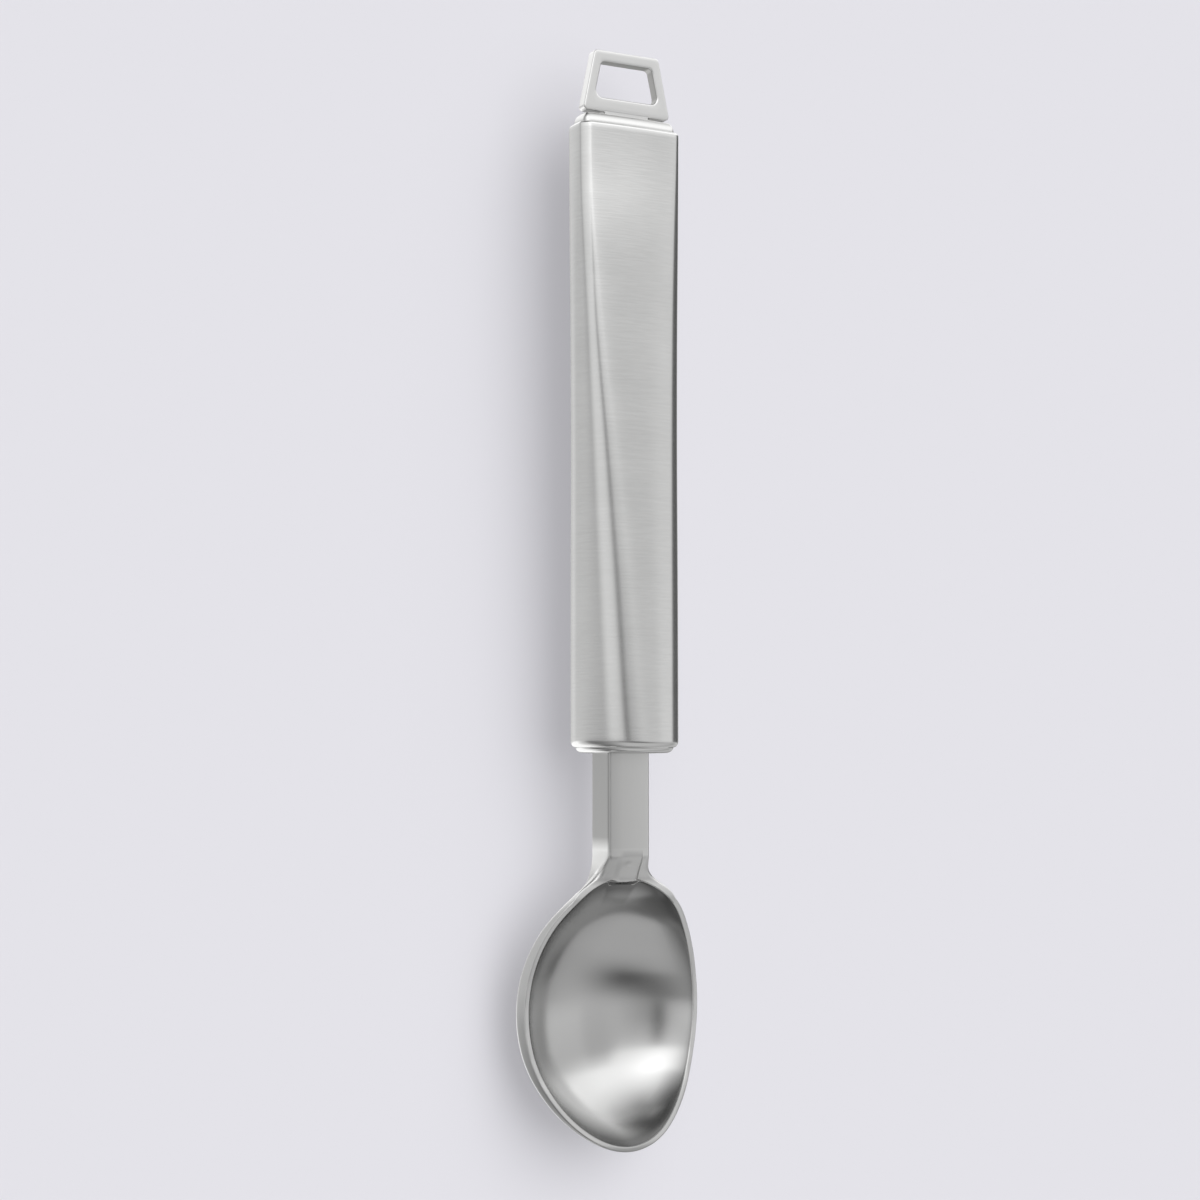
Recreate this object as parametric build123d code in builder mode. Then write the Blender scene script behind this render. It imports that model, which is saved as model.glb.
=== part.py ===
from build123d import *
import os
from math import cos, pi, radians, sin, sqrt

# Solid ice cream scoop with a hollow tube handle, all in mm.
# +Y runs from the bowl's tip to the hanging loop, +Z is the side that the
# bowl opens to, X is across. Z = 0 is the lowest point of the bowl.

os.makedirs("parts", exist_ok=True)

# ---------------------------------------------------------------- dimensions
AXIS_Z = 15.18         # height of the handle's axis over the bowl's lowest point
MID_Y = -1.03          # shifts the drawing's Y zero to the middle of the tool

TUBE_LOOP_Y = 95.0     # loop end of the handle tube
TUBE_NECK_Y = -29.3    # bowl end of the handle tube
TUBE_WALL = 0.9        # sheet thickness of the handle tube
TUBE_ROUND = 0.7       # rounding of the tube's ends

CAP_PLUG = 4.0         # length of a cap's skirt inside the tube
UPPER_CAP_Y = 97.6     # crown of the cap at the loop end
LOWER_CAP_Y = -30.6    # crown of the cap at the bowl end
FIT = 0.04             # gap between a cap and the tube that it is pressed into
# the crown of a cap: share of its rise, share of its inset
CROWN = [(0.0, 0.0), (0.3, 0.04), (0.6, 0.16), (0.82, 0.38), (0.95, 0.68), (1.0, 1.0)]

LOOP_Y0 = 97.9         # lower edge of the loop plate
LOOP_Y1 = 110.4        # upper edge of the loop plate
LOOP_HALF_LOW = 9.9    # half width of the plate at its lower edge
LOOP_HALF_TOP = 7.3    # half width of the plate at its upper edge
LOOP_THICK = 2.5
HOLE_Y0 = 100.8        # the hanging hole, a trapezium with round corners
HOLE_Y1 = 108.1
HOLE_HALF_LOW = 7.3
HOLE_HALF_TOP = 5.7
STEM_HALF = 5.0        # half width of the loop's stem through the cap
STEM_END_Y = 86.0

NECK_W = 9.25          # across
NECK_TOP = 2.1         # front face of the neck, from the handle's axis
NECK_BOTTOM = -5.4     # back face of the neck, from the handle's axis
NECK_JOINT_Y = -49.0   # where the neck is welded to the bowl's root
SEAM = 0.3             # width of the dressed weld
TANG_FULL_Y = -20.0    # end of the full section inside the handle
TANG_END_Y = -2.0      # end of the thin tang inside the handle

BOWL_Y = -81.2         # middle of the bowl
RIM_A_IN = 18.6        # inner edge of the rim: half width, half length
RIM_L_IN = 26.1
RIM_A = 19.5           # outer edge of the rim's flat top
RIM_L = 27.0
FLANK_A = 20.54        # lower edge of the flank, the widest line of the bowl
FLANK_L = 27.15
FLANK_END = 0.9        # depth of the flank under the rim at the ends
FLANK_SIDE = 1.85      # and at the sides
BOWL_Z = -15.2         # lowest point outside, from the handle's axis
BOWL_Z_IN = -12.8      # lowest point inside
TIP_POWER = 1.06       # makes the tip half a little more pointed than an ellipse
END_SLANT = 0.1        # share of straight slant in the end walls
FULL_OUT = 1.25        # fullness of the outer wall's section, 1 parabola, 2 ellipse
FULL_IN = 1.2          # and of the inner wall's

# rim height along the bowl, from the handle's axis: (Y, Z)
RIM_LINE = [(-108.4, 2.4), (-107, 2.1), (-104, 0.5), (-101, -1.0), (-98, -2.25),
            (-94, -3.75), (-90, -4.65), (-85, -5.0), (-80, -5.0), (-75, -4.65),
            (-71, -3.9), (-68, -3.1), (-65, -2.1), (-63, -1.2), (-61, -0.2),
            (-59, 0.4), (-57, 0.2), (-55, -0.1), (-53, 0.7), (-51, 1.65), (-49.2, 2.1)]

TROUGH_HALF = 2.95     # half width of the shallow trough pressed into the root
# floor of the trough along the root, from the handle's axis: (Y, Z)
TROUGH_FLOOR = [(-49.2, 2.1), (-49.8, 1.5), (-51.2, 1.05), (-52.6, 0.35), (-54.2, -0.45),
                (-55.8, -0.95), (-57.0, -1.1)]
LIP_Y = -55.75         # where the trough runs out over the edge of the hollow

# handle sections from the loop end to the neck end:
# Y, length and spread (deg) of the front faces, direction (deg) of their
# normals, the same three for the side faces, radius of the corners on the
# left of the front and on its right
SECTIONS = [
    (95.0, 18.23, 7.0, 0.0, 3.20, 9.0, -90.0, 2.31, 2.20),
    (88.0, 17.55, 8.0, 0.0, 2.60, 10.0, -89.0, 2.59, 2.80),
    (80.0, 16.37, 9.2, 0.0, 2.00, 11.2, -88.0, 2.89, 4.00),
    (72.0, 15.15, 10.2, 0.1, 1.60, 12.2, -86.0, 3.14, 5.12),
    (64.0, 14.13, 11.1, 0.3, 1.29, 13.1, -83.6, 3.53, 5.61),
    (56.0, 12.96, 12.0, 0.6, 1.00, 14.0, -81.0, 4.15, 5.90),
    (46.0, 11.44, 12.8, 1.0, 0.79, 14.8, -77.7, 4.98, 6.23),
    (36.0, 9.71, 13.7, 1.4, 0.75, 15.7, -74.7, 6.01, 6.43),
    (26.0, 8.10, 14.5, 1.8, 0.78, 16.5, -71.8, 7.02, 6.60),
    (16.0, 6.58, 15.1, 2.1, 0.91, 17.1, -69.3, 7.99, 6.78),
    (6.0, 5.12, 15.4, 2.4, 1.17, 17.4, -67.7, 8.83, 6.98),
    (-4.0, 4.03, 15.6, 2.6, 1.67, 17.6, -66.3, 9.34, 7.00),
    (-14.0, 3.04, 15.7, 2.7, 2.20, 17.7, -65.0, 9.73, 7.00),
    (-22.0, 2.29, 15.9, 2.9, 2.62, 17.9, -64.0, 10.01, 7.00),
    (-29.3, 1.38, 16.0, 3.0, 3.00, 18.0, -63.0, 10.43, 7.00),
]
OUTLINE_POINTS = 56
LEVEL_POINTS = 72


# ------------------------------------------------------------------ geometry
def between(x, table):
    """Straight-line reading of a table of (x, value), either way round."""
    rows = sorted(table)
    if x <= rows[0][0]:
        return rows[0][1]
    for (x0, v0), (x1, v1) in zip(rows, rows[1:]):
        if x <= x1:
            return v0 + (v1 - v0) * (x - x0) / (x1 - x0)
    return rows[-1][1]


def curve(x, table):
    """Smooth reading (Catmull-Rom) of a table of (x, value)."""
    rows = sorted(table)
    n = len(rows)
    i = 0
    while i < n - 2 and x > rows[i + 1][0]:
        i += 1
    (x0, v0), (x1, v1) = rows[i], rows[i + 1]

    def slope(j):
        if j == 0 or j == n - 1:
            k = min(j, n - 2)
            return (rows[k + 1][1] - rows[k][1]) / (rows[k + 1][0] - rows[k][0])
        return (rows[j + 1][1] - rows[j - 1][1]) / (rows[j + 1][0] - rows[j - 1][0])

    h = x1 - x0
    t = (x - x0) / h
    return ((2 * t**3 - 3 * t**2 + 1) * v0 + (t**3 - 2 * t**2 + t) * h * slope(i)
            + (3 * t**2 - 2 * t**3) * v1 + (t**3 - t**2) * h * slope(i + 1))


def smooth(x):
    x = min(max(x, 0.0), 1.0)
    return x * x * (3 - 2 * x)


def handle_outline(y, inset=0.0):
    """Closed outline of the handle at y, as (X, Z) from the axis.

    The outline is laid out from its radius of curvature against the direction
    of its normal, so it is smooth and turns over onto itself (two-fold)."""
    row = [curve(y, [(s[0], s[i]) for s in SECTIONS]) for i in range(1, 9)]
    front_len, front_w, front_a, side_len, side_w, side_a, r_left, r_right = row
    steps = 1440
    pts, normals = [], []
    x = z = 0.0
    for i in range(steps):
        a = -180.0 + 360.0 * (i + 0.5) / steps
        p = (a - front_a + 90) % 180 - 90
        q = (a - side_a + 90) % 180 - 90
        u = (a - side_a) % 180
        span = front_a - side_a
        left = (smooth((u + 6) / 12) * (1 - smooth((u - span + 6) / 12))
                + smooth((u - 174) / 12))
        r = r_right + (r_left - r_right) * left
        for d, w, length in ((p, front_w, front_len), (q, side_w, side_len)):
            if abs(d) < w:
                r += length * 0.5 * (1 + cos(pi * d / w)) / radians(w)
        pts.append((x, z))
        normals.append(-180.0 + 360.0 * i / steps)
        step = radians(360.0 / steps)
        x += r * cos(radians(a)) * step
        z -= r * sin(radians(a)) * step
    half = steps // 2
    cx = (pts[0][0] + pts[half][0]) / 2
    cz = (pts[0][1] + pts[half][1]) / 2
    out = []
    for (px, pz), a in zip(pts, normals):
        out.append((px - cx - inset * sin(radians(a)), pz - cz - inset * cos(radians(a))))
    # even steps along the outline, starting from the same normal each time
    run = [0.0]
    for i in range(steps):
        x0, z0 = out[i]
        x1, z1 = out[(i + 1) % steps]
        run.append(run[-1] + sqrt((x1 - x0) ** 2 + (z1 - z0) ** 2))
    even, k = [], 0
    for j in range(OUTLINE_POINTS):
        t = run[-1] * j / OUTLINE_POINTS
        while run[k + 1] < t:
            k += 1
        f = (t - run[k]) / (run[k + 1] - run[k])
        x0, z0 = out[k]
        x1, z1 = out[(k + 1) % steps]
        even.append((x0 + f * (x1 - x0), z0 + f * (z1 - z0)))
    return even


def across(y):
    """Plane square to the handle at y, with its own X along X and Y along +Z."""
    return Plane(origin=(0, y + MID_Y, AXIS_Z), x_dir=(1, 0, 0), z_dir=(0, -1, 0))


def facing_loop(y):
    """Plane square to the handle at y that faces the loop; its Y runs along -Z."""
    return Plane(origin=(0, y + MID_Y, AXIS_Z), x_dir=(1, 0, 0), z_dir=(0, 1, 0))


def rim_z(y):
    return between(y, RIM_LINE)


def wall(q, slant, fullness):
    """Share of the bowl's plan left at q, from 0 at the rim to 1 at the bottom."""
    if q < 0:
        return 1 - slant * q
    q = min(q, 1.0)
    return slant * (1 - q) + (1 - slant) * sqrt(1 - q**fullness)


def plan_share(z, run, s, drop, bottom, fullness):
    """Share of the plan that a wall has left at the height z.

    The wall starts `drop` under the rim line, which is read at the wall's own
    place along the bowl, and ends at `bottom`."""
    slant = END_SLANT * abs(s) ** 3
    top = rim_z(BOWL_Y + run) - drop
    if z >= top:
        return wall((z - top) / (bottom - top), slant, fullness)
    low, high = 0.0, 1.0
    for _ in range(40):
        q = (low + high) / 2
        f = wall(q, slant, fullness)
        top = rim_z(BOWL_Y + run * f) - drop
        if top + (bottom - top) * q > z:
            low = q
        else:
            high = q
    return wall((low + high) / 2, slant, fullness)


def hollow_level(z):
    """Closed outline of the hollow at the height z, as (X, Y)."""
    out = []
    for i in range(LEVEL_POINTS):
        a = 2 * pi * i / LEVEL_POINTS
        c, s = cos(a), sin(a)
        power = TIP_POWER if s < 0 else 1.0
        rx = RIM_A_IN * (1 if c > 0 else -1) * abs(c) ** power
        ry = RIM_L_IN * s
        f = plan_share(z, ry, s, 0.0, BOWL_Z_IN, FULL_IN)
        out.append((rx * f, BOWL_Y + MID_Y + ry * f))
    return out


def body_level(z):
    """Closed outline of the bowl's outside at the height z, as (X, Y).

    From the rim's flat top the flank runs outwards and down, and the outer
    wall runs in under it."""
    out = []
    for i in range(LEVEL_POINTS):
        a = 2 * pi * i / LEVEL_POINTS
        c, s = cos(a), sin(a)
        power = TIP_POWER if s < 0 else 1.0
        cx = (1 if c > 0 else -1) * abs(c) ** power
        top = rim_z(BOWL_Y + RIM_L * s) - 0.05
        deep = FLANK_END + (FLANK_SIDE - FLANK_END) * c * c
        if z >= top:
            rx, ry = RIM_A * cx, RIM_L * s
        elif z >= top - deep:
            t = (top - z) / deep
            rx = (RIM_A + (FLANK_A - RIM_A) * t) * cx
            ry = (RIM_L + (FLANK_L - RIM_L) * t) * s
        else:
            f = plan_share(z, RIM_L * s, s, 0.05 + deep, BOWL_Z, FULL_OUT)
            rx, ry = FLANK_A * cx * f, FLANK_L * s * f
        out.append((rx, BOWL_Y + MID_Y + ry))
    return out


def heights(high, mid, low, upper, lower):
    """Levels: even from high to mid, then closing up towards low."""
    out = [high + (mid - high) * i / upper for i in range(upper)]
    for i in range(lower + 1):
        out.append(mid + (low - mid) * sin(radians(86.0) * i / lower))
    return out


# ---------------------------------------------------------------- the handle
with BuildPart() as handle_tube:
    for s in SECTIONS:
        with BuildSketch(across(s[0])):
            with BuildLine():
                Spline(*handle_outline(s[0]), periodic=True)
            make_face()
    loft()
    ends = handle_tube.faces().filter_by(GeomType.PLANE).sort_by(Axis.Y)
    fillet(ends[0].edges() + ends[-1].edges(), TUBE_ROUND)
    for s in SECTIONS:
        with BuildSketch(across(s[0])):
            with BuildLine():
                Spline(*handle_outline(s[0], TUBE_WALL), periodic=True)
            make_face()
    loft(mode=Mode.SUBTRACT)
handle_tube.part.label = "handle_tube"

# -------------------------------------------------------------- the end caps
with BuildPart() as upper_end_cap:
    with BuildSketch(across(TUBE_LOOP_Y - CAP_PLUG)):
        with BuildLine():
            Spline(*handle_outline(TUBE_LOOP_Y, TUBE_WALL + FIT + 0.02), periodic=True)
        make_face()
    extrude(amount=-CAP_PLUG)
    for rise, inset in CROWN:
        with BuildSketch(across(TUBE_LOOP_Y + rise * (UPPER_CAP_Y - TUBE_LOOP_Y))):
            with BuildLine():
                Spline(*handle_outline(TUBE_LOOP_Y, TUBE_WALL + FIT + 0.02 + 1.25 * inset),
                       periodic=True)
            make_face()
    loft()
    # slot for the loop's stem
    with BuildSketch(across(UPPER_CAP_Y)):
        Rectangle(2 * STEM_HALF + 0.08, LOOP_THICK + 0.08)
    extrude(amount=CAP_PLUG + 4, both=True, mode=Mode.SUBTRACT)
    # the plug is a cup, open to the inside of the handle
    with BuildSketch(across(TUBE_LOOP_Y - CAP_PLUG)):
        with BuildLine():
            Spline(*handle_outline(TUBE_LOOP_Y, TUBE_WALL + 1.1), periodic=True)
        make_face()
        Rectangle(2 * STEM_HALF + 1.6, LOOP_THICK + 1.6, mode=Mode.SUBTRACT)
    extrude(amount=-CAP_PLUG, mode=Mode.SUBTRACT)
upper_end_cap.part.label = "upper_end_cap"

with BuildPart() as lower_end_cap:
    with BuildSketch(across(TUBE_NECK_Y + CAP_PLUG)):
        with BuildLine():
            Spline(*handle_outline(TUBE_NECK_Y, TUBE_WALL + FIT + 0.14), periodic=True)
        make_face()
    extrude(amount=CAP_PLUG)
    for rise, inset in CROWN:
        with BuildSketch(across(TUBE_NECK_Y + rise * (LOWER_CAP_Y - TUBE_NECK_Y))):
            with BuildLine():
                Spline(*handle_outline(TUBE_NECK_Y, TUBE_WALL + FIT + 0.14 + 2.0 * inset),
                       periodic=True)
            make_face()
    loft()
    # the plug is a cup, open to the inside of the handle
    with BuildSketch(across(TUBE_NECK_Y + CAP_PLUG)):
        with BuildLine():
            Spline(*handle_outline(TUBE_NECK_Y, TUBE_WALL + 0.9), periodic=True)
        make_face()
    extrude(amount=CAP_PLUG - 0.2, mode=Mode.SUBTRACT)
    # slot for the neck
    with BuildSketch(across(LOWER_CAP_Y)):
        with Locations((0, (NECK_TOP + NECK_BOTTOM) / 2)):
            Rectangle(NECK_W + 0.08, NECK_TOP - NECK_BOTTOM + 0.08)
    extrude(amount=CAP_PLUG + 4, both=True, mode=Mode.SUBTRACT)
lower_end_cap.part.label = "lower_end_cap"

# ----------------------------------------------------------- the hanging loop
with BuildPart() as hanging_loop:
    with BuildSketch(Plane.XY.offset(AXIS_Z)) as plate:
        with BuildLine():
            Polyline((-LOOP_HALF_LOW, LOOP_Y0 + MID_Y), (LOOP_HALF_LOW, LOOP_Y0 + MID_Y),
                     (LOOP_HALF_TOP, LOOP_Y1 + MID_Y), (-LOOP_HALF_TOP, LOOP_Y1 + MID_Y),
                     close=True)
        make_face()
        corners = plate.vertices().sort_by(Axis.Y)
        fillet(corners[2:], 1.3)
        fillet(plate.vertices().sort_by(Axis.Y)[:2], 0.8)
        with BuildSketch(mode=Mode.SUBTRACT) as hole:
            with BuildLine():
                Polyline((-HOLE_HALF_LOW, HOLE_Y0 + MID_Y), (HOLE_HALF_LOW, HOLE_Y0 + MID_Y),
                         (HOLE_HALF_TOP, HOLE_Y1 + MID_Y), (-HOLE_HALF_TOP, HOLE_Y1 + MID_Y),
                         close=True)
            make_face()
            fillet(hole.vertices().sort_by(Axis.Y)[:2], 1.5)
            fillet(hole.vertices().sort_by(Axis.Y)[-2:], 1.0)
    extrude(amount=LOOP_THICK / 2, both=True)
    outer = hanging_loop.faces().filter_by(Axis.Z)
    chamfer(outer.edges(), 0.3)
    with BuildSketch(Plane.XY.offset(AXIS_Z)):
        with Locations((0, (STEM_END_Y + LOOP_Y0 + 0.6) / 2 + MID_Y)):
            Rectangle(2 * STEM_HALF, LOOP_Y0 + 0.6 - STEM_END_Y)
    extrude(amount=LOOP_THICK / 2, both=True)
hanging_loop.part.label = "hanging_loop"

with BuildPart() as loop_stem_weld:
    # fillet bead round the stem, on the inner face of the cap
    with BuildSketch(across(TUBE_LOOP_Y - CAP_PLUG)):
        RectangleRounded(2 * STEM_HALF + 1.4, LOOP_THICK + 1.4, 0.6)
    extrude(amount=1.2, taper=20)
    with BuildSketch(across(TUBE_LOOP_Y - CAP_PLUG)):
        Rectangle(2 * STEM_HALF + 0.02, LOOP_THICK + 0.02)
    extrude(amount=4, both=True, mode=Mode.SUBTRACT)
loop_stem_weld.part.label = "loop_stem_weld"

# ------------------------------------------------------------------- the neck
NECK_MID = (NECK_TOP + NECK_BOTTOM) / 2
with BuildPart() as neck_shank:
    with BuildSketch(across(TANG_FULL_Y)):
        with Locations((0, NECK_MID)):
            RectangleRounded(NECK_W, NECK_TOP - NECK_BOTTOM, 0.7)
    extrude(amount=TANG_FULL_Y - NECK_JOINT_Y - SEAM / 2)
    with BuildSketch(across(TANG_END_Y)):
        with Locations((0, NECK_MID)):
            RectangleRounded(6.0, 4.5, 0.8)
    extrude(amount=TANG_END_Y - TANG_FULL_Y)
    tip = neck_shank.faces().filter_by(Axis.Y).sort_by(Axis.Y)[-1]
    chamfer(tip.edges(), 0.8)
neck_shank.part.label = "neck_shank"

with BuildPart() as tang_weld:
    # fillet bead round the tang, on the inner face of the cap
    with BuildSketch(facing_loop(TUBE_NECK_Y + 0.2)):
        with Locations((0, -NECK_MID)):
            RectangleRounded(NECK_W + 0.9, NECK_TOP - NECK_BOTTOM + 0.5, 1.7)
    extrude(amount=1.0, taper=20)
    with BuildSketch(across(TUBE_NECK_Y)):
        with Locations((0, NECK_MID)):
            RectangleRounded(NECK_W + 0.02, NECK_TOP - NECK_BOTTOM + 0.02, 0.7)
    extrude(amount=4, both=True, mode=Mode.SUBTRACT)
tang_weld.part.label = "tang_weld"

with BuildPart() as neck_weld_seam:
    with BuildSketch(across(NECK_JOINT_Y + SEAM / 2)):
        with Locations((0, NECK_MID)):
            RectangleRounded(NECK_W, NECK_TOP - NECK_BOTTOM, 0.7)
    extrude(amount=SEAM)
neck_weld_seam.part.label = "neck_weld_seam"

# ------------------------------------------------------------------- the bowl
ROOT_TOP_PLAN = [(4.62, -49.15), (4.64, -50.6), (5.25, -52.3), (6.15, -53.6), (7.4, -54.9),
                 (8.7, -56.0), (10.0, -57.1), (11.1, -58.4), (11.6, -59.6)]
ROOT_LOW_PLAN = [(4.62, -49.15), (4.63, -50.6), (4.75, -52.3), (5.1, -53.6), (5.6, -54.9),
                 (6.3, -56.0), (7.2, -57.0), (8.3, -58.0), (9.4, -58.9)]


def root_plan(points, y_in):
    right = [(x, y + MID_Y) for x, y in points]
    left = [(-x, y) for x, y in reversed(right)]
    return right, left, y_in + MID_Y


with BuildPart() as bowl:
    # outside of the bowl, level by level
    for h in heights(3.0, -7.2, BOWL_Z, 17, 9):
        with BuildSketch(Plane.XY.offset(AXIS_Z + h)):
            with BuildLine():
                Spline(*body_level(h), periodic=True)
            make_face()
    loft(ruled=True)
    # solid root between the bowl and the neck, wide at the front
    for h, plan in ((NECK_BOTTOM, ROOT_LOW_PLAN), (-1.0, ROOT_TOP_PLAN), (2.6, ROOT_TOP_PLAN)):
        right, left, y_in = root_plan(plan, -61.0)
        with BuildSketch(Plane.XY.offset(AXIS_Z + h)):
            with BuildLine():
                Spline(*right)
                Line(right[-1], (6.0, y_in))
                Line((6.0, y_in), (-6.0, y_in))
                Line((-6.0, y_in), left[0])
                Spline(*left)
                Line(left[-1], right[0])
            make_face()
    loft(ruled=True)
    # the hollow
    for h in heights(4.0, -6.0, BOWL_Z_IN, 7, 7):
        with BuildSketch(Plane.XY.offset(AXIS_Z + h)):
            with BuildLine():
                Spline(*hollow_level(h), periodic=True)
            make_face()
    loft(mode=Mode.SUBTRACT)
    # lip in the middle, where the root reaches a little way over the hollow
    with BuildSketch(Plane.XY.offset(AXIS_Z - 3.0)):
        with BuildLine():
            Line((TROUGH_HALF, -54.95 + MID_Y), (TROUGH_HALF, -51.0 + MID_Y))
            Line((TROUGH_HALF, -51.0 + MID_Y), (-TROUGH_HALF, -51.0 + MID_Y))
            Line((-TROUGH_HALF, -51.0 + MID_Y), (-TROUGH_HALF, -54.95 + MID_Y))
            ThreePointArc((-TROUGH_HALF, -54.95 + MID_Y), (0, LIP_Y + MID_Y),
                          (TROUGH_HALF, -54.95 + MID_Y))
        make_face()
    extrude(amount=4.0)
    # the rim and the shoulders are cut to the rim line
    with BuildSketch(Plane.YZ):
        with BuildLine():
            rim = [(y + MID_Y, AXIS_Z + z) for y, z in RIM_LINE]
            first = (rim[0][0] - 4, rim[0][1] + 2.6)
            last = (rim[-1][0] + 0.2, rim[-1][1])
            Line(first, rim[0])
            Spline(*rim)
            Polyline(rim[-1], last, (last[0], AXIS_Z + 12), (first[0], AXIS_Z + 12), first)
        make_face()
    extrude(amount=30, both=True, mode=Mode.SUBTRACT)
    # shallow trough from the neck's front face down to the lip
    with BuildSketch(Plane.YZ):
        with BuildLine():
            floor_line = [(y + MID_Y, AXIS_Z + z) for y, z in TROUGH_FLOOR]
            Polyline(*floor_line)
            Polyline(floor_line[-1], (floor_line[-1][0], AXIS_Z + 4),
                     (floor_line[0][0], AXIS_Z + 4), floor_line[0])
        make_face()
    extrude(amount=TROUGH_HALF, both=True, mode=Mode.SUBTRACT)
bowl.part.label = "bowl"

export_step(handle_tube.part, "parts/handle_tube.step")
export_step(upper_end_cap.part, "parts/upper_end_cap.step")
export_step(lower_end_cap.part, "parts/lower_end_cap.step")
export_step(hanging_loop.part, "parts/hanging_loop.step")
export_step(loop_stem_weld.part, "parts/loop_stem_weld.step")
export_step(neck_shank.part, "parts/neck_shank.step")
export_step(tang_weld.part, "parts/tang_weld.step")
export_step(neck_weld_seam.part, "parts/neck_weld_seam.step")
export_step(bowl.part, "parts/bowl.step")
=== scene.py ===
import bpy
import math
import numpy as np
from mathutils import Matrix, Vector


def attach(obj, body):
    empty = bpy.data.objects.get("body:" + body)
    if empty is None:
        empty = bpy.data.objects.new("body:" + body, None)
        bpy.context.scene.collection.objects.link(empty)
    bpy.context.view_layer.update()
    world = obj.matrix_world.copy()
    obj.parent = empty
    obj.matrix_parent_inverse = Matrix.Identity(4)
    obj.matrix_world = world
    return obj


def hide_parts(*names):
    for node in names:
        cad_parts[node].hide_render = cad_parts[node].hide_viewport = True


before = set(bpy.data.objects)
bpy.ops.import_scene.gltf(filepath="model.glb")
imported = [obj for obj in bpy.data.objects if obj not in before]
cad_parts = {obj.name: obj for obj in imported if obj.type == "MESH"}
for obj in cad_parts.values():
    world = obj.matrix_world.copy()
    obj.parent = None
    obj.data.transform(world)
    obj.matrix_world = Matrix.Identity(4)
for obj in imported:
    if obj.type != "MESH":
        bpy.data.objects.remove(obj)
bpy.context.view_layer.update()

# Lengths below are mm from the handle's axis, as in the CAD source; the row
# frame has the axis 15.2 mm over the bowl's lowest point and Y shifted to the
# middle of the tool.
AXIS_Z = 15.18
MID_Y = -1.03
MM = 0.001


def row(p):
    """mm from the handle's axis to metres in the row frame."""
    p = np.asarray(p, float)
    return (p + np.array([0.0, MID_Y, AXIS_Z])) * MM


def sstep(x):
    x = np.clip(x, 0.0, 1.0)
    return x * x * (3 - 2 * x)


# ------------------------------------------------------------ mesh building
def new_object(name, verts, faces, uvs=None, smooth=True):
    me = bpy.data.meshes.new(name)
    me.from_pydata([tuple(v) for v in verts], [], [tuple(f) for f in faces])
    me.update()
    if smooth:
        me.polygons.foreach_set("use_smooth", [True] * len(me.polygons))
    if uvs is not None:
        layer = me.uv_layers.new(name="brush")
        loops = np.zeros(len(me.loops), np.int32)
        me.loops.foreach_get("vertex_index", loops)
        layer.data.foreach_set("uv", np.asarray(uvs, np.float32)[loops].ravel())
    ob = bpy.data.objects.new(name, me)
    bpy.context.scene.collection.objects.link(ob)
    return ob


def grid_faces(nu, nv, close_u=False, close_v=False, start=0, flip=False):
    """Quads of a grid of nu by nv points, point (i, j) being i * nv + j."""
    iu = np.arange(nu if close_u else nu - 1)
    jv = np.arange(nv if close_v else nv - 1)
    i, j = np.meshgrid(iu, jv, indexing="ij")
    i2, j2 = (i + 1) % nu, (j + 1) % nv
    f = np.stack([i * nv + j, i2 * nv + j, i2 * nv + j2, i * nv + j2], -1).reshape(-1, 4) + start
    return f[:, ::-1] if flip else f


# ---------------------------------------------------------------- the handle
# Y, front length, front spread, front direction, side length, side spread,
# side direction, radius left of the front, radius right of it
SECTIONS = np.array([
    (95.0, 18.23, 7.0, 0.0, 3.20, 9.0, -90.0, 2.31, 2.20),
    (88.0, 17.55, 8.0, 0.0, 2.60, 10.0, -89.0, 2.59, 2.80),
    (80.0, 16.37, 9.2, 0.0, 2.00, 11.2, -88.0, 2.89, 4.00),
    (72.0, 15.15, 10.2, 0.1, 1.60, 12.2, -86.0, 3.14, 5.12),
    (64.0, 14.13, 11.1, 0.3, 1.29, 13.1, -83.6, 3.53, 5.61),
    (56.0, 12.96, 12.0, 0.6, 1.00, 14.0, -81.0, 4.15, 5.90),
    (46.0, 11.44, 12.8, 1.0, 0.79, 14.8, -77.7, 4.98, 6.23),
    (36.0, 9.71, 13.7, 1.4, 0.75, 15.7, -74.7, 6.01, 6.43),
    (26.0, 8.10, 14.5, 1.8, 0.78, 16.5, -71.8, 7.02, 6.60),
    (16.0, 6.58, 15.1, 2.1, 0.91, 17.1, -69.3, 7.99, 6.78),
    (6.0, 5.12, 15.4, 2.4, 1.17, 17.4, -67.7, 8.83, 6.98),
    (-4.0, 4.03, 15.6, 2.6, 1.67, 17.6, -66.3, 9.34, 7.00),
    (-14.0, 3.04, 15.7, 2.7, 2.20, 17.7, -65.0, 9.73, 7.00),
    (-22.0, 2.29, 15.9, 2.9, 2.62, 17.9, -64.0, 10.01, 7.00),
    (-29.3, 1.38, 16.0, 3.0, 3.00, 18.0, -63.0, 10.43, 7.00),
])
_fine_y = np.linspace(-40, 106, 1461)


def _smooth_columns():
    """The section table read smoothly: linear, then a soft running average."""
    ys = SECTIONS[::-1, 0]
    k = np.exp(-0.5 * (np.arange(-150, 151) / 45.0) ** 2)
    k /= k.sum()
    cols = []
    for c in range(1, 9):
        v = SECTIONS[::-1, c]
        line = np.interp(_fine_y, ys, v)
        lo, hi = _fine_y < ys[0], _fine_y > ys[-1]
        line[lo] = v[0] + (v[1] - v[0]) / (ys[1] - ys[0]) * (_fine_y[lo] - ys[0])
        line[hi] = v[-1] + (v[-1] - v[-2]) / (ys[-1] - ys[-2]) * (_fine_y[hi] - ys[-1])
        pad = np.pad(line, 150, mode="reflect", reflect_type="odd")
        cols.append(np.convolve(pad, k, mode="valid"))
    return cols


_cols = _smooth_columns()
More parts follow.
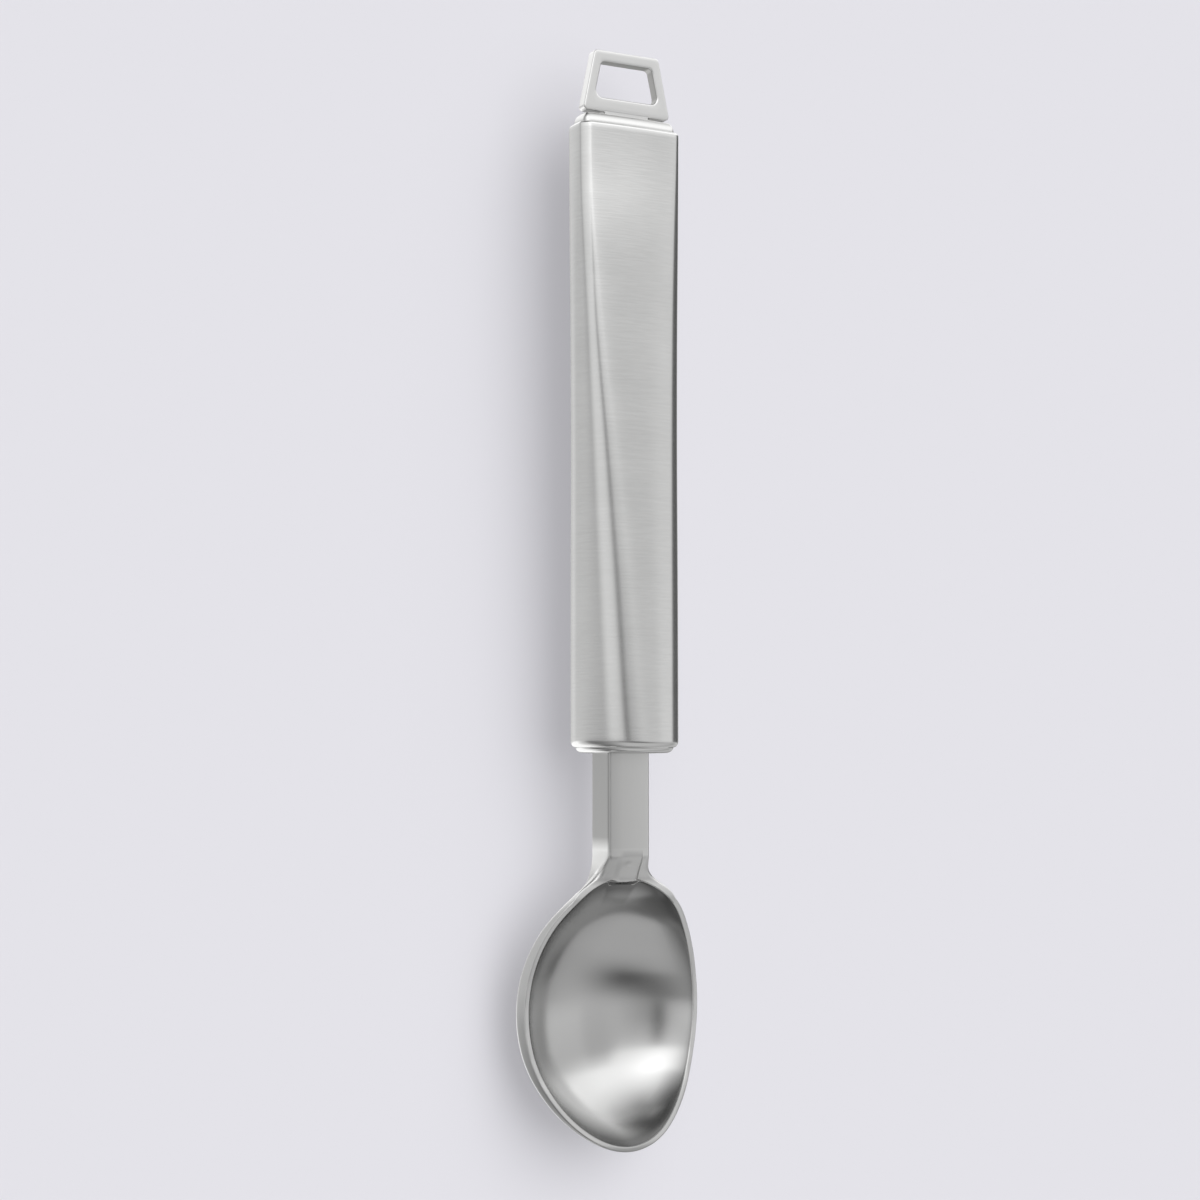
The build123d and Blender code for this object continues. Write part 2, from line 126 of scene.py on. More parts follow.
# near the loop end the left front corner is a narrow bevel between two short
# radii: Y, length of the bevel, how much of the front it takes
BEVEL = np.array([(56, 0, 0), (64, 0.4, -0.05), (72, 0.85, -0.35), (80, 1.25, -0.60), (88, 1.4, -0.55), (95, 1.45, -0.25)])


def section(y, inset=0.0, count=192, bevel=True):
    """Outline of the handle at y as X, Z and the outline's length."""
    p = [float(np.interp(y, _fine_y, c)) for c in _cols]
    l1, w1, a1, l2, w2, a2, r1, r3 = p
    lb, shift = np.interp(y, BEVEL[:, 0], BEVEL[:, 1]), np.interp(y, BEVEL[:, 0], BEVEL[:, 2])
    if not bevel:
        lb, shift = 0.0, 0.0
    l1, l2, r1 = l1 - shift, l2 - shift + 0.05 * lb, r1 + shift - 0.73 * lb
    n = 2880
    a = -180 + 360 * (np.arange(n) + 0.5) / n
    d1 = (a - a1 + 90) % 180 - 90
    d2 = (a - a2 + 90) % 180 - 90
    u = (a - a2) % 180
    span = a1 - a2
    left = sstep((u + 6) / 12) * (1 - sstep((u - span + 6) / 12)) + sstep((u - 174) / 12)
    r = r3 + (r1 - r3) * left
    d3 = (a + 43.0 + 90) % 180 - 90
    for d, w, length in ((d1, w1, l1), (d2, w2, l2), (d3, 8.0, lb)):
        r = r + length * np.where(np.abs(d) < w, 0.5 * (1 + np.cos(np.pi * d / w)), 0) / math.radians(w)
    st = math.radians(360 / n)
    ar = np.radians(a)
    x = np.concatenate([[0], np.cumsum(r * np.cos(ar) * st)])[:-1]
    z = np.concatenate([[0], np.cumsum(-r * np.sin(ar) * st)])[:-1]
    x -= (x[0] + x[n // 2]) / 2
    z -= (z[0] + z[n // 2]) / 2
    nrm = np.radians(-180 + 360 * np.arange(n) / n)
    x = x - inset * np.sin(nrm)
    z = z - inset * np.cos(nrm)
    run = np.concatenate([[0], np.cumsum(np.hypot(np.diff(np.append(x, x[0])), np.diff(np.append(z, z[0]))))])
    par = 0.55 * run / run[-1] + 0.45 * np.arange(n + 1) / n
    t = np.arange(count) / count
    k = np.interp(t, par, np.arange(n + 1))
    xs = np.interp(k, np.arange(n + 1), np.append(x, x[0]))
    zs = np.interp(k, np.arange(n + 1), np.append(z, z[0]))
    rs = np.interp(k, np.arange(n + 1), run)
    return xs, zs, rs


def tube_mesh():
    low, top, wall = -29.3, 95.0, 0.9
    stations = []
    # from the mouth at the neck end, over the rounded lip, along, and in again
    for depth in (3.0, 1.5, 0.7):
        stations.append((low + depth, wall, low + depth))
    for t in np.linspace(90, 0, 9):
        c = math.cos(math.radians(t))
        stations.append((low + 1.35 * (1 - c) ** 1.0 * 0 + 1.35 * (1 - math.sin(math.radians(t))),
                         0.88 * (1 - c), None))
    body = np.linspace(low + 1.35, top - 0.6, 150)[1:-1]
    for y in body:
        stations.append((float(y), 0.0, None))
    for t in np.linspace(0, 90, 7):
        c = math.cos(math.radians(t))
        stations.append((top - 0.6 * (1 - math.sin(math.radians(t))), 0.6 * (1 - c), None))
    for depth in (0.0, 0.7, 1.5, 3.0):
        stations.append((top - depth, wall, None))
    verts, uvs = [], []
    n = 192
    for y, inset, _ in stations:
        x, z, r = section(min(max(y, low), top), inset, n)
        verts.append(np.stack([x, np.full(n, y), z], -1))
        uvs.append(np.stack([np.full(n, y) / 60.0, r / 60.0], -1))
    v = row(np.concatenate(verts))
    return new_object("handle_tube_skin", v, grid_faces(len(stations), n, close_v=True),
                      np.concatenate(uvs))


def cap_mesh(name, y_mouth, y_crown, inset_run, inset0):
    """Polished domed cap: skirt in the tube's mouth, round edge, low crown."""
    n = 192
    sgn = 1 if y_crown > y_mouth else -1
    rise = abs(y_crown - y_mouth)
    rows, uvs = [], []
    x0, z0, r0 = section(y_mouth, inset0, n, False)
    prof = [(-1.6, 0.0), (-0.5, 0.0)]
    for t in np.linspace(0, 90, 13):
        prof.append((rise * 0.86 * math.sin(math.radians(t)), inset_run * (1 - math.cos(math.radians(t)))))
    for dy, ins in prof:
        x, z, r = section(y_mouth, inset0 + ins, n, False)
        rows.append(np.stack([x, np.full(n, y_mouth + sgn * dy), z], -1))
        uvs.append(np.stack([np.full(n, dy) / 60, r0 / 60], -1))
    xe, ze, _ = section(y_mouth, inset0 + inset_run, n, False)
    for k in np.linspace(0, 1, 10)[1:]:
        f = 1 - k
        dy = rise * (0.86 + 0.14 * (1 - f * f))
        rows.append(np.stack([xe * max(f, 0.001), np.full(n, y_mouth + sgn * dy), ze * max(f, 0.001)], -1))
        uvs.append(np.stack([np.full(n, dy) / 60, r0 / 60], -1))
    v = row(np.concatenate(rows))
    return new_object(name, v, grid_faces(len(rows), n, close_v=True, flip=sgn < 0), np.concatenate(uvs))


# ------------------------------------------------------------------ the loop
def round_poly(points, radii, per=14, edge=12):
    """Closed outline of a convex polygon with round corners, counter-clockwise."""
    pts = [np.array(p, float) for p in points]
    out = []
    m = len(pts)
    ends = []
    for i in range(m):
        p0, p1, p2 = pts[i - 1], pts[i], pts[(i + 1) % m]
        d1 = (p0 - p1) / np.linalg.norm(p0 - p1)
        d2 = (p2 - p1) / np.linalg.norm(p2 - p1)
        half = math.acos(np.clip(d1 @ d2, -1, 1)) / 2
        cut = radii[i] / math.tan(half)
        bis = (d1 + d2) / np.linalg.norm(d1 + d2)
        centre = p1 + bis * radii[i] / math.sin(half)
        a = p1 + d1 * cut - centre
        b = p1 + d2 * cut - centre
        ang = math.acos(np.clip(a @ b / radii[i] ** 2, -1, 1))
        arc = []
        for t in np.linspace(0, 1, per):
            arc.append(centre + (a * math.sin((1 - t) * ang) + b * math.sin(t * ang)) / math.sin(ang))
        ends.append(arc)
    for i in range(m):
        out += ends[i]
        q0, q1 = ends[i][-1], ends[(i + 1) % m][0]
        for t in np.linspace(0, 1, edge + 2)[1:-1]:
            out.append(q0 + (q1 - q0) * t)
    return np.array(out)


def offset_poly(p, d):
    """Outline moved inwards by d along its normals."""
    t = np.roll(p, -1, 0) - np.roll(p, 1, 0)
    t /= np.linalg.norm(t, axis=1)[:, None]
    nrm = np.stack([-t[:, 1], t[:, 0]], -1)
    return p + nrm * d


def loop_mesh():
    outer = round_poly([(-9.9, 97.9), (9.9, 97.9), (7.3, 110.4), (-7.3, 110.4)], [0.8, 0.8, 0.9, 0.9])
    hole = round_poly([(-7.3, 100.8), (7.3, 100.8), (5.7, 108.1), (-5.7, 108.1)], [1.5, 1.5, 1.0, 1.0])
    hz, r, rh = 1.25, 0.28, 0.4
    rings = []
    ang = np.radians(np.linspace(0, 90, 6))
    # over the outer edge from the middle of the side to the front face
    rings.append((outer, 0.0))
    for a in ang:
        rings.append((offset_poly(outer, r * (1 - math.cos(a))), hz - r + r * math.sin(a)))
    for t in (0.33, 0.66):
        rings.append((offset_poly(outer, r) * (1 - t) + offset_poly(hole, -rh) * t, hz))
    for a in np.radians(np.linspace(90, 0, 10)):
        rings.append((offset_poly(hole, -rh * (1 - math.cos(a))), hz - rh + rh * math.sin(a)))
    rings.append((hole, 0.0))
    full = rings + [(p, -z) for p, z in rings[::-1]][1:-1]
    n = len(outer)
    verts = np.concatenate([np.column_stack([p[:, 0], p[:, 1], np.full(n, z)]) for p, z in full])
    uv = np.column_stack([verts[:, 1] / 60, verts[:, 0] / 60])
    faces = grid_faces(len(full), n, close_u=True, close_v=True)
    base = len(verts)
    # the stem that goes down through the cap
    sx, y0, y1 = 5.0, 86.0, 98.5
    st = round_poly([(-sx, -1.2), (sx, -1.2), (sx, 1.2), (-sx, 1.2)], [0.3] * 4, per=5, edge=4)
    m = len(st)
    sv = np.concatenate([np.column_stack([st[:, 0], np.full(m, y), st[:, 1]]) for y in np.linspace(y0, y1, 6)])
    verts = np.concatenate([verts, sv])
    uv = np.concatenate([uv, np.column_stack([sv[:, 1] / 60, sv[:, 0] / 60])])
    faces = np.concatenate([faces, grid_faces(6, m, close_v=True, start=base)])
    return new_object("hanging_loop_plate", row(verts), faces, uv)


# ------------------------------------------------------------------ the bowl
YC = -81.2
RIM = np.array([(-108.4, 2.35), (-107.8, 2.3), (-107, 2.1), (-105.5, 1.35), (-104, 0.5), (-101, -1.0),
                (-98, -2.25), (-94, -3.75), (-90, -4.65), (-85, -5.0), (-80, -5.0), (-75, -4.65),
                (-71, -3.9), (-68, -3.1), (-65, -2.1), (-63, -1.2), (-61, -0.2), (-59, 0.4),
                (-57, 0.2), (-56, 0.0), (-55, -0.25), (-53, -0.5)])
_ry = np.linspace(-112, -50, 1241)
_k = np.exp(-0.5 * (np.arange(-60, 61) / 14.0) ** 2)
_k /= _k.sum()
_rz = np.convolve(np.pad(np.interp(_ry, RIM[:, 0], RIM[:, 1]), 60, mode="edge"), _k, mode="valid")


def rim_z(y):
    return np.interp(y, _ry, _rz)


def around(lam):
    """Unit outline of the bowl, a little more pointed in its tip half."""
    c, s = np.cos(lam), np.sin(lam)
    return np.sign(c) * np.abs(c) ** np.where(s < 0, 1.06, 1.0), s


def share(q, s, fullness):
    """Share of the plan left at q, from 0 at the top of a wall to 1."""
    k = 0.1 * np.abs(s) ** 3
    f = k * (1 - q) + (1 - k) * np.sqrt(np.clip(1 - np.clip(q, 0, 1) ** fullness, 0, 1))
    return np.where(q < 0, 1 - k * q, f)


def inner_wall(lam, q, grow=0.0, lower=0.0):
    """Point of the hollow's wall: lam round the rim, q from 0 at the rim to 1.

    With `lower` the wall starts that much under the rim, on the same surface."""
    cx, s = around(lam)
    rx, ry = (18.6 + grow) * cx, (26.1 + grow) * s
    bottom = -12.8 - grow
    start = lower / (rim_z(YC + ry) - bottom)
    q = start + (1 - start) * q
    f = share(q, s, 1.2)
    zt = rim_z(YC + ry * np.minimum(f, 1.0))
    return np.stack([rx * f, YC + ry * f, zt + (bottom - zt) * q], -1)


def flank(lam, t, lower=0.0):
    """Point of the flank, from the rim's outer edge out and down to the belly."""
    cx, s = around(lam)
    zt = rim_z(YC + 27.0 * s) - 0.02 - lower
    deep = 0.9 + 0.95 * np.cos(lam) ** 2
    return np.stack([(19.5 + 0.95 * t) * cx, YC + (27.0 + 0.1 * t) * s, zt - deep * t], -1)


def belly(lam, q, lower=0.0):
    """Point of the outer wall under the flank, q from 0 at the flank to 1."""
    cx, s = around(lam)
    f = share(q, s, 1.25)
    edge = rim_z(YC + 27.0 * s * f) - 0.02 - lower - (0.9 + 0.95 * np.cos(lam) ** 2)
    return np.stack([20.45 * cx * f, YC + 27.1 * s * f, edge + (-15.16 - edge) * q], -1)


def soft_corner(p0, p1, p2, r0, r1, steps):
    """Short arcs over the corner p1, from r0 before it to r1 after it."""
    def unit(v):
        return v / np.linalg.norm(v, axis=1)[:, None]
    a, b = p1 + unit(p0 - p1) * r0, p1 + unit(p2 - p1) * r1
    return [(1 - t) ** 2 * a + 2 * t * (1 - t) * p1 + t * t * b for t in np.linspace(0, 1, steps)]


def bowl_shell():
    """Inner wall, flat rim, flank and outer wall as one closed skin.

    Also gives the first and last row of faces that belong to the rim."""
    n = 540
    lam = 2 * np.pi * np.arange(n) / n
    near = np.abs(((lam - np.pi / 2 + np.pi) % (2 * np.pi)) - np.pi)
    lower = 1.3 * (1 - sstep((near - math.radians(8.5)) / math.radians(3.5)))
    # inner wall from the bottom up, stopping just short of the rim edge
    down = [q for q in np.sin(np.linspace(0.0, np.pi / 2, 90) ** 1.35 / (np.pi / 2) ** 0.35)[::-1] if q > 0.03]
    prof = [inner_wall(lam, q, 0.0, lower) for q in down]
    rim_in, rim_out = inner_wall(lam, 0.0, 0.0, lower), flank(lam, 0.0, lower)
    first = len(prof)
    prof += soft_corner(inner_wall(lam, 0.03, 0.0, lower), rim_in, rim_out, 0.22, 0.22, 6)
    prof += soft_corner(rim_in, rim_out, flank(lam, 1.0, lower), 0.26, 0.26, 6)
    low = flank(lam, 1.0, lower)
    prof += soft_corner(rim_out, low, belly(lam, 0.06, lower), 0.35, 0.35, 9)
    last = len(prof)
    prof += [belly(lam, q, lower) for q in np.sin(np.linspace(0.07, np.pi / 2, 80))]
    P = np.stack(prof)                      # rows of the profile, round the rim
    verts = P.reshape(-1, 3)
    # how far towards the root, and how far down the hollow's wall
    level = np.concatenate([down, np.linspace(0.03, 0.0, 6), np.ones(len(prof) - len(down) - 6)])
    uv = np.column_stack([np.tile(0.5 + 0.5 * np.sin(lam), len(prof)), np.repeat(level, n)])
    return verts, grid_faces(len(prof), n, close_v=True), uv, (first * n, (first + 15) * n, last * n)


def table(rows_, x):
    rows_ = np.array(rows_)
    o = np.argsort(rows_[:, 0])
    xs, vs = rows_[o, 0], rows_[o, 1]
    # Catmull-Rom through the table
    m = np.zeros(len(xs))
    m[1:-1] = (vs[2:] - vs[:-2]) / (xs[2:] - xs[:-2])
    m[0] = (vs[1] - vs[0]) / (xs[1] - xs[0])
    m[-1] = (vs[-1] - vs[-2]) / (xs[-1] - xs[-2])
    x = np.clip(np.asarray(x, float), xs[0], xs[-1])
    i = np.clip(np.searchsorted(xs, x, side="right") - 1, 0, len(xs) - 2)
    h = xs[i + 1] - xs[i]
    t = (x - xs[i]) / h
    return ((2 * t**3 - 3 * t**2 + 1) * vs[i] + (t**3 - 2 * t**2 + t) * h * m[i]
            + (3 * t**2 - 2 * t**3) * vs[i + 1] + (t**3 - t**2) * h * m[i + 1])


W_TOP = [(-49.3, 4.625), (-49.9, 4.64), (-50.9, 4.80), (-52.3, 5.30), (-53.6, 6.15), (-54.9, 7.4),
         (-56.0, 8.7), (-57.1, 10.0), (-58.35, 11.05), (-59.4, 11.6), (-60.4, 11.8)]
W_LOW = [(-49.3, 4.625), (-51.0, 4.625), (-53.0, 4.8), (-55.0, 5.3), (-57.0, 6.1), (-60.4, 7.4)]
R_TOP = [(-49.3, 0.7), (-50.5, 0.9), (-52.0, 1.5), (-53.5, 2.2), (-55.0, 2.1), (-56.8, 1.1), (-58.5, 0.5), (-60.4, 0.3)]
NECK_LOW = -5.4


def top_height(x, y):
    s = sstep((-50.5 - y) / 6.0)
    base = 2.1 * (1 - s) + (rim_z(y) + 0.03) * s + 0.02 * np.exp(-((y + 51.4) / 1.0) ** 2)
    # the trough has a wall on the right and runs out softly to the left
    wide = 1 - sstep(np.where(x > 0, (x - 2.85) / 0.14, (-x - 0.9) / 2.0))
    trough = 0.42 * wide * sstep((-49.4 - y) / 3.6)
    dimple = 0.24 * np.exp(-(((x - 0.25) / 0.8) ** 2) - ((y + 52.4) / 0.6) ** 2)
    return base - trough - dimple


def bar_section(y):
    """Outline of the neck and root at y, from the top middle round to the right."""
    if y > -49.3:
        wt = wb = 4.625
        r = 0.7
    else:
        wt, wb, r = float(table(W_TOP, y)), float(table(W_LOW, y)), float(table(R_TOP, y))
    zb, zt = NECK_LOW, float(top_height(np.array(20.0), np.array(y)))
    flat = max(wt - r, 3.1)
    xs = np.concatenate([np.linspace(0, 2.7, 14)[:-1], np.linspace(2.7, 3.04, 12)[:-1],
                         np.linspace(3.04, flat, 10)])
    if y > -49.2:
        top = [(x, zt) for x in xs]
    else:
        top = [(x, float(top_height(np.array(x), np.array(y)))) for x in xs]
        mirror = [(-x, float(top_height(np.array(-x), np.array(y)))) for x in xs]
    if y > -49.2:
        mirror = [(-x, z) for x, z in top]
    side = np.array([wb - wt, zb - zt])
    length = np.linalg.norm(side)
    side /= length
    c0, corner = np.array([flat, zt]), np.array([wt, zt])
    cut = min(r, 0.45 * length)
    c1 = corner + side * cut
    w = math.cos(math.pi / 4)
    arc = []
    for t in np.linspace(0, 1, 18)[1:]:
        b0, b1, b2 = (1 - t) ** 2, 2 * w * t * (1 - t), t * t
        arc.append(tuple((b0 * c0 + b1 * corner + b2 * c1) / (b0 + b1 + b2)))
    low = np.array([wb, zb])
    d0, d1 = low - side * 0.7, low + np.array([-0.7, 0])
    straight = [tuple(c1 + (d0 - c1) * t) for t in np.linspace(0, 1, 14)[1:-1]]
    arc2 = []
    for t in np.linspace(0, 1, 8):
        b0, b1, b2 = (1 - t) ** 2, 2 * w * t * (1 - t), t * t
        arc2.append(tuple((b0 * d0 + b1 * low + b2 * d1) / (b0 + b1 + b2)))
    bottom = [(x, zb) for x in np.linspace(d1[0], 0, 8)[1:]]
    rest = arc + straight + arc2 + bottom
    right = top + rest
    left = [(-x, z) for x, z in rest[:-1][::-1]] + mirror[::-1][:-1]
    return [(x, y, z) for x, z in right + left]


def bar_mesh(ys, tang=False):
    loops = [bar_section(y) for y in ys]
    if tang:
        m0 = len(loops[0])
        ring = np.array(loops[0])
        mid = (2.1 + NECK_LOW) / 2
        for y, fx, fz in ((-20.0, 6.0 / 9.25, 4.5 / 7.5), (-2.8, 6.0 / 9.25, 4.5 / 7.5), (-2.0, 4.4 / 9.25, 2.9 / 7.5)):
            loops.insert(0, [(x * fx, y, mid + (z - mid) * fz) for x, _, z in ring])
    m = len(loops[0])
    n = len(loops)
    verts = np.array(loops).reshape(-1, 3)
    faces = [tuple(f) for f in grid_faces(n, m, close_v=True)]
    faces.append(tuple(range(m))[::-1])
    faces.append(tuple((n - 1) * m + i for i in range(m)))
    return verts, faces


def finish_bar(ob):
    """Smooth shading with sharp edges, and a brush map along the bar."""
    fix_normals(ob)
    ob.data.polygons.foreach_set("use_smooth", [True] * len(ob.data.polygons))
    ob.data.set_sharp_from_angle(angle=math.radians(38))
    layer = ob.data.uv_layers.new(name="brush")
    co = np.zeros(len(ob.data.vertices) * 3, np.float32)
    ob.data.vertices.foreach_get("co", co)
    co = co.reshape(-1, 3)
    loops = np.zeros(len(ob.data.loops), np.int32)
    ob.data.loops.foreach_get("vertex_index", loops)
    uv = np.column_stack([co[:, 0] / 0.06, co[:, 1] / 0.06]).astype(np.float32)
    layer.data.foreach_set("uv", uv[loops].ravel())
    return ob


def hollow_mesh():
    """What the bowl's hollow takes away from the root, a hair wider than the inner wall."""
    n = 360
    lam = 2 * np.pi * np.arange(n) / n
    prof = []
    for q in list(np.sin(np.linspace(1.45, 0, 40))) + [-0.1, -0.25, -0.4]:
        p = inner_wall(lam, np.full(n, q), 0.03)
        # small lip between the cusps, where the trough runs out over the edge
        lip = 0.62 * np.clip(1 - (p[:, 0] / 2.95) ** 2, 0, None) * (np.sin(lam) > 0)
        p[:, 1] -= lip * float(sstep((0.14 - q) / 0.12))
        prof.append(p)
    P = np.stack(prof)
    verts = P.reshape(-1, 3)
    faces = [tuple(f) for f in grid_faces(len(prof), n, close_v=True, flip=True)]
    faces.append(tuple(range(n)))
    faces.append(tuple((len(prof) - 1) * n + i for i in range(n))[::-1])
    return verts, faces


def fix_normals(ob):
    import bmesh
    bm = bmesh.new()
    bm.from_mesh(ob.data)
    bmesh.ops.recalc_face_normals(bm, faces=bm.faces)
    bm.to_mesh(ob.data)
    bm.free()


def build_root():
    v, f = bar_mesh(np.concatenate([[-49.15], np.linspace(-49.3, -60.3, 96)]))
    ob = new_object("bowl_root", row(v), f)
    fix_normals(ob)
    hv, hf = hollow_mesh()
    cut = new_object("cutter", row(hv), hf)
    fix_normals(cut)
    mod = ob.modifiers.new("hollow", "BOOLEAN")
    mod.operation = "DIFFERENCE"
    mod.solver = "EXACT"
    mod.object = cut
    dg = bpy.context.evaluated_depsgraph_get()
    me = bpy.data.meshes.new_from_object(ob.evaluated_get(dg))
    ob.modifiers.clear()
    old = ob.data
    ob.data = me
    bpy.data.meshes.remove(old)
    bpy.data.objects.remove(cut)
    return finish_bar(ob)


# ---------------------------------------------------------------- materials
def principled(name, color, rough, aniso=0.0, rotation=0.0):
    mat = bpy.data.materials.new(name)
    mat.use_nodes = True
    nt = mat.node_tree
    bsdf = next(n for n in nt.nodes if n.type == "BSDF_PRINCIPLED")
    bsdf.inputs["Base Color"].default_value = (*color, 1)
    bsdf.inputs["Metallic"].default_value = 1.0
    bsdf.inputs["Roughness"].default_value = rough
    bsdf.inputs["Anisotropic"].default_value = aniso
    bsdf.inputs["Anisotropic Rotation"].default_value = rotation
    return mat, nt, bsdf


def brushed(name, color, rough, aniso, scale, strength, spread=0.04, uv=True, rotation=0.0, grain_rough=0.05):
    """Brushed steel: fine lines along the object's `scale` axis, blurred across them."""
    mat, nt, bsdf = principled(name, color, rough, aniso, rotation)
    L = nt.links.new
    tc = nt.nodes.new("ShaderNodeTexCoord")
    mp = nt.nodes.new("ShaderNodeMapping")
    mp.inputs["Scale"].default_value = scale
    L(tc.outputs["Object"], mp.inputs["Vector"])
    no = nt.nodes.new("ShaderNodeTexNoise")
    no.inputs["Scale"].default_value = 1.0
    no.inputs["Detail"].default_value = 4.0
    no.inputs["Roughness"].default_value = 0.6
    L(mp.outputs["Vector"], no.inputs["Vector"])
    # slow variation of tone and gloss over the surface
    slow = nt.nodes.new("ShaderNodeTexNoise")
    slow.inputs["Scale"].default_value = 90.0
    slow.inputs["Detail"].default_value = 2.0
    L(tc.outputs["Object"], slow.inputs["Vector"])
    mr = nt.nodes.new("ShaderNodeMapRange")
    mr.inputs["To Min"].default_value = rough - grain_rough
    mr.inputs["To Max"].default_value = rough + grain_rough
    mixf = nt.nodes.new("ShaderNodeMath")
    mixf.operation = "MULTIPLY_ADD"
    mixf.inputs[1].default_value = 0.6
    mul = nt.nodes.new("ShaderNodeMath")
    mul.operation = "MULTIPLY"
    mul.inputs[1].default_value = 0.4
    L(slow.outputs["Fac"], mul.inputs[0])
    L(no.outputs["Fac"], mixf.inputs[0])
    L(mul.outputs[0], mixf.inputs[2])
    L(mixf.outputs[0], mr.inputs["Value"])
    L(mr.outputs["Result"], bsdf.inputs["Roughness"])
    cr = nt.nodes.new("ShaderNodeMix")
    cr.data_type = "RGBA"
    lo = tuple(c * (1 - spread) for c in color)
    hi = tuple(min(1.0, c * (1 + spread)) for c in color)
    cr.inputs["A"].default_value = (*lo, 1)
    cr.inputs["B"].default_value = (*hi, 1)
    L(mixf.outputs[0], cr.inputs["Factor"])
    L(cr.outputs["Result"], bsdf.inputs["Base Color"])
    bump = nt.nodes.new("ShaderNodeBump")
    bump.inputs["Strength"].default_value = strength
    bump.inputs["Distance"].default_value = 0.00002
    L(no.outputs["Fac"], bump.inputs["Height"])
    L(bump.outputs["Normal"], bsdf.inputs["Normal"])
    if aniso > 0:
        tan = nt.nodes.new("ShaderNodeTangent")
        if uv:
            tan.direction_type = "UV_MAP"
            tan.uv_map = "brush"
        else:
            tan.direction_type = "RADIAL"
            tan.axis = "Y"
        L(tan.outputs["Tangent"], bsdf.inputs["Tangent"])
    return mat


STEEL = (0.74, 0.74, 0.735)
m_handle = brushed("steel_handle", STEEL, 0.20, 0.0, (200, 3600, 200), 0.30, spread=0.12, grain_rough=0.03)
m_caps = brushed("steel_polished", (0.74, 0.74, 0.735), 0.16, 0.0, (900, 900, 900), 0.05)
# upper cap: the cap steel a little rougher, with its tone painted darker as shade
m_cap_top_painted_shade = brushed("steel_polished_dull_painted_shade", (0.66, 0.66, 0.655), 0.18, 0.0, (900, 900, 900), 0.05)
m_loop = brushed("steel_loop", (0.76, 0.76, 0.755), 0.30, 0.0, (300, 6000, 300), 0.1)
m_neck_painted_shade = brushed("steel_neck", (0.64, 0.64, 0.635), 0.34, 0.6, (5000, 300, 5000), 0.25, uv=False)
m_weld = brushed("steel_weld", (0.50, 0.50, 0.49), 0.45, 0.0, (2500, 2500, 2500), 0.5)
m_bowl_painted_lip_shade = brushed("steel_bowl_painted_lip_shade", (0.56, 0.56, 0.557), 0.18, 0.0, (900, 4000, 900), 0.05, spread=0.02, grain_rough=0.02)

m_flank = brushed("steel_flank", (0.78, 0.78, 0.775), 0.40, 0.0, (900, 4000, 900), 0.05, spread=0.02, grain_rough=0.02)
m_root_painted_shade = brushed("steel_root", (0.68, 0.68, 0.675), 0.34, 0.0, (2500, 600, 2500), 0.15, spread=0.03, grain_rough=0.02)
# the loop hole's walls: a rougher steel with painted shade in the hole
m_hole_painted_shade = brushed("steel_hole_edge_painted_shade", (0.50, 0.50, 0.49), 0.55, 0.0, (2500, 2500, 2500), 0.3)


def painted_light_along(mat, stops, axis="Y"):
    """Paint light and shade into the finish's tone along one axis: stops of object position and factor."""
    nt = mat.node_tree
    bsdf = next(n for n in nt.nodes if n.type == "BSDF_PRINCIPLED")
    tc = next(n for n in nt.nodes if n.type == "TEX_COORD")
    old = bsdf.inputs["Base Color"].links[0].from_socket
    sep = nt.nodes.new("ShaderNodeSeparateXYZ")
    nt.links.new(tc.outputs["Object"], sep.inputs[0])
    mr = nt.nodes.new("ShaderNodeMapRange")
    y0, y1 = stops[0][0], stops[-1][0]
    mr.inputs["From Min"].default_value = y0
    mr.inputs["From Max"].default_value = y1
    nt.links.new(sep.outputs[axis], mr.inputs["Value"])
    cr = nt.nodes.new("ShaderNodeValToRGB")
    el = cr.color_ramp.elements
    el[0].position, el[0].color = 0.0, (stops[0][1],) * 3 + (1,)
    el[1].position, el[1].color = 1.0, (stops[-1][1],) * 3 + (1,)
    for y, v in stops[1:-1]:
        e = el.new((y - y0) / (y1 - y0))
        e.color = (v, v, v, 1)
    nt.links.new(mr.outputs["Result"], cr.inputs["Fac"])
    mix = nt.nodes.new("ShaderNodeMix")
    mix.data_type = "RGBA"
    mix.blend_type = "MULTIPLY"
    mix.inputs["Factor"].default_value = 1.0
    nt.links.new(old, mix.inputs["A"])
    nt.links.new(cr.outputs["Color"], mix.inputs["B"])
    nt.links.new(mix.outputs["Result"], bsdf.inputs["Base Color"])
    return mat


def steps(nt, fac, stops):
    cr = nt.nodes.new("ShaderNodeValToRGB")
    el = cr.color_ramp.elements
    el[0].position, el[0].color = stops[0][0], (stops[0][1],) * 3 + (1,)
    el[1].position, el[1].color = stops[-1][0], (stops[-1][1],) * 3 + (1,)
    for p_, v in stops[1:-1]:
        e = el.new(p_)
        e.color = (v, v, v, 1)
    nt.links.new(fac, cr.inputs["Fac"])
    return cr.outputs["Color"]


